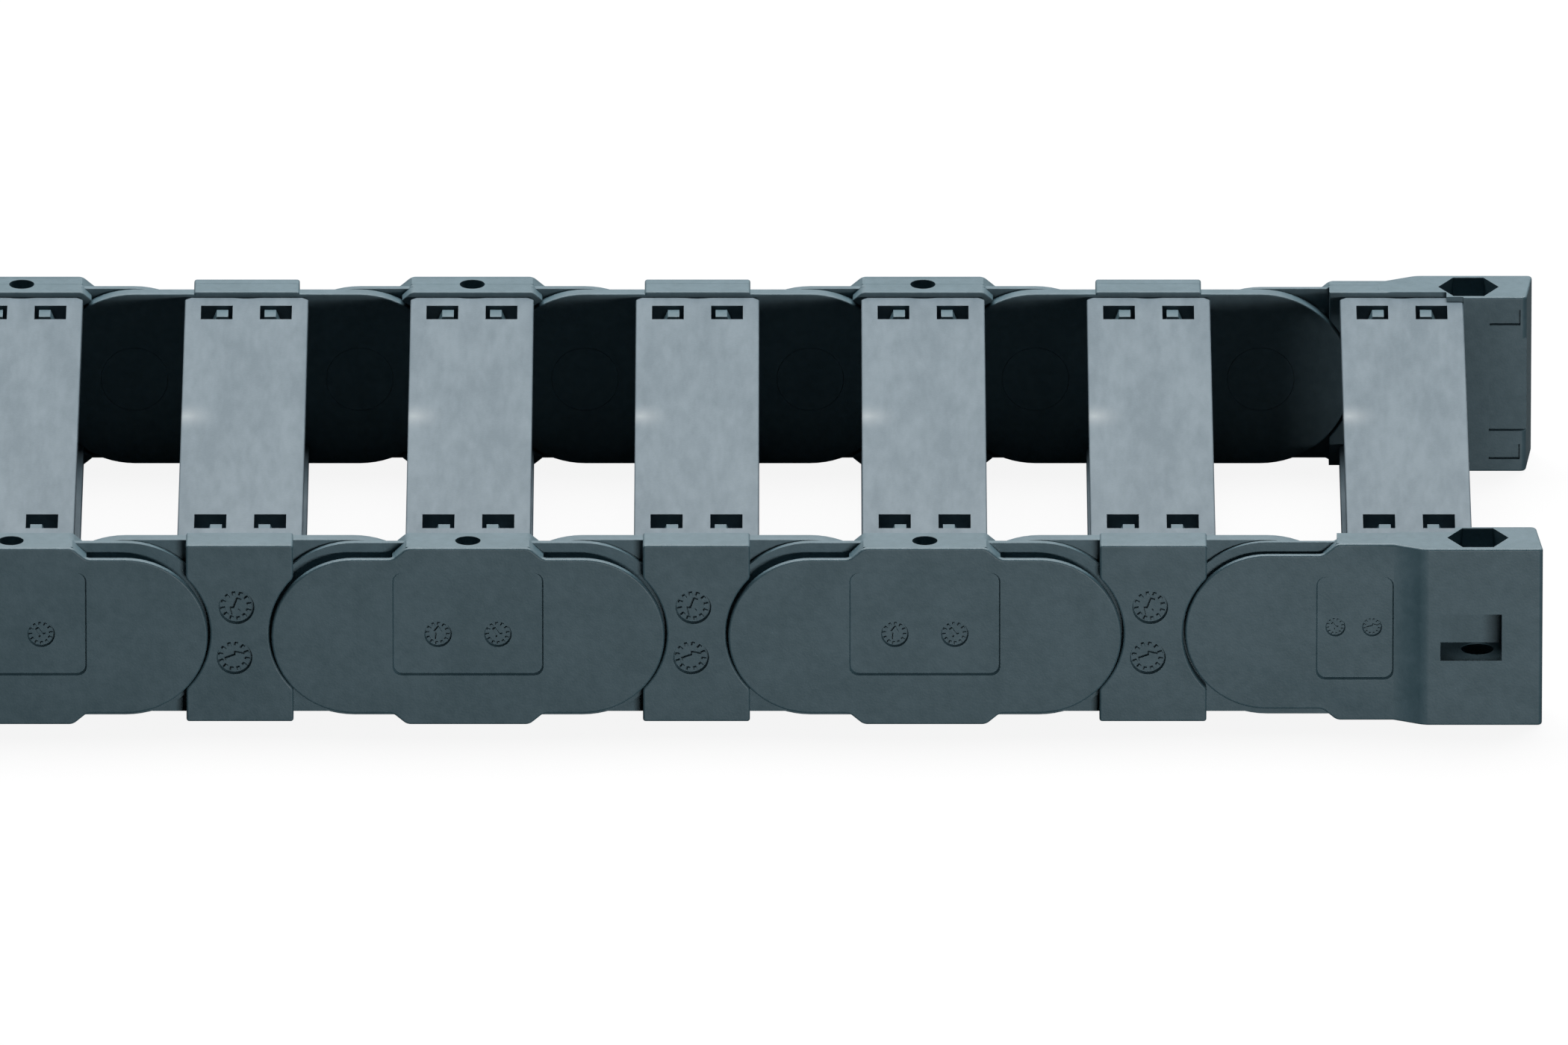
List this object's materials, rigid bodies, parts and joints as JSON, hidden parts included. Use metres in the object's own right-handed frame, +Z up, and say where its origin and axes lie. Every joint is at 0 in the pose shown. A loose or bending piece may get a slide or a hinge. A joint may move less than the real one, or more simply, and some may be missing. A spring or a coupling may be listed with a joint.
{
  "type": "cable drag chain",
  "caption": "Plastic cable drag chain with alternating outer and inner links, snap-in crossbars and screw-on end brackets.",
  "frame": {"origin": "under the middle of the chain, on the plane it stands on", "axes": "+X along the chain from the fixed bracket to the moving bracket, +Z up, towards the side it curls to"},
  "size_m": [0.287, 0.1036, 0.0252],
  "materials": {
    "plate_plastic": "glass-filled nylon, fine even moulded grain, blue-grey",
    "crossbar_plastic": "the same nylon with a slightly smoother face"
  },
  "bodies": {
    "fixed_end": {"fixed_end_front_plate": "plate_plastic", "fixed_end_rear_plate": "plate_plastic", "fixed_end_top_bar": "crossbar_plastic", "fixed_end_bottom_bar": "crossbar_plastic"},
    "link_1": {"link_1_front_plate": "plate_plastic", "link_1_rear_plate": "plate_plastic", "link_1_top_bar": "crossbar_plastic", "link_1_bottom_bar": "crossbar_plastic"},
    "link_2": {"link_2_front_plate": "plate_plastic", "link_2_rear_plate": "plate_plastic", "link_2_top_bar": "crossbar_plastic", "link_2_bottom_bar": "crossbar_plastic"},
    "link_3": {"link_3_front_plate": "plate_plastic", "link_3_rear_plate": "plate_plastic", "link_3_top_bar": "crossbar_plastic", "link_3_bottom_bar": "crossbar_plastic"},
    "link_4": {"link_4_front_plate": "plate_plastic", "link_4_rear_plate": "plate_plastic", "link_4_top_bar": "crossbar_plastic", "link_4_bottom_bar": "crossbar_plastic"},
    "link_5": {"link_5_front_plate": "plate_plastic", "link_5_rear_plate": "plate_plastic", "link_5_top_bar": "crossbar_plastic", "link_5_bottom_bar": "crossbar_plastic"},
    "link_6": {"link_6_front_plate": "plate_plastic", "link_6_rear_plate": "plate_plastic", "link_6_top_bar": "crossbar_plastic", "link_6_bottom_bar": "crossbar_plastic"},
    "link_7": {"link_7_front_plate": "plate_plastic", "link_7_rear_plate": "plate_plastic", "link_7_top_bar": "crossbar_plastic", "link_7_bottom_bar": "crossbar_plastic"},
    "moving_end": {"moving_end_front_plate": "plate_plastic", "moving_end_rear_plate": "plate_plastic", "moving_end_top_bar": "crossbar_plastic", "moving_end_bottom_bar": "crossbar_plastic"}
  },
  "joints": [
    {"name": "hinge_1", "type": "hinge", "parent": "fixed_end", "child": "link_1", "pos_m": [-0.10675, 0, 0.0126], "axis": [0, -1, 0], "range_deg": [0, 22.5]},
    {"name": "hinge_2", "type": "hinge", "parent": "link_1", "child": "link_2", "pos_m": [-0.07625, 0, 0.0126], "axis": [0, -1, 0], "range_deg": [0, 22.5]},
    {"name": "hinge_3", "type": "hinge", "parent": "link_2", "child": "link_3", "pos_m": [-0.04575, 0, 0.0126], "axis": [0, -1, 0], "range_deg": [0, 22.5]},
    {"name": "hinge_4", "type": "hinge", "parent": "link_3", "child": "link_4", "pos_m": [-0.01525, 0, 0.0126], "axis": [0, -1, 0], "range_deg": [0, 22.5]},
    {"name": "hinge_5", "type": "hinge", "parent": "link_4", "child": "link_5", "pos_m": [0.01525, 0, 0.0126], "axis": [0, -1, 0], "range_deg": [0, 22.5]},
    {"name": "hinge_6", "type": "hinge", "parent": "link_5", "child": "link_6", "pos_m": [0.04575, 0, 0.0126], "axis": [0, -1, 0], "range_deg": [0, 22.5]},
    {"name": "hinge_7", "type": "hinge", "parent": "link_6", "child": "link_7", "pos_m": [0.07625, 0, 0.0126], "axis": [0, -1, 0], "range_deg": [0, 22.5]},
    {"name": "hinge_8", "type": "hinge", "parent": "link_7", "child": "moving_end", "pos_m": [0.10675, 0, 0.0126], "axis": [0, -1, 0], "range_deg": [0, 22.5]}
  ]
}
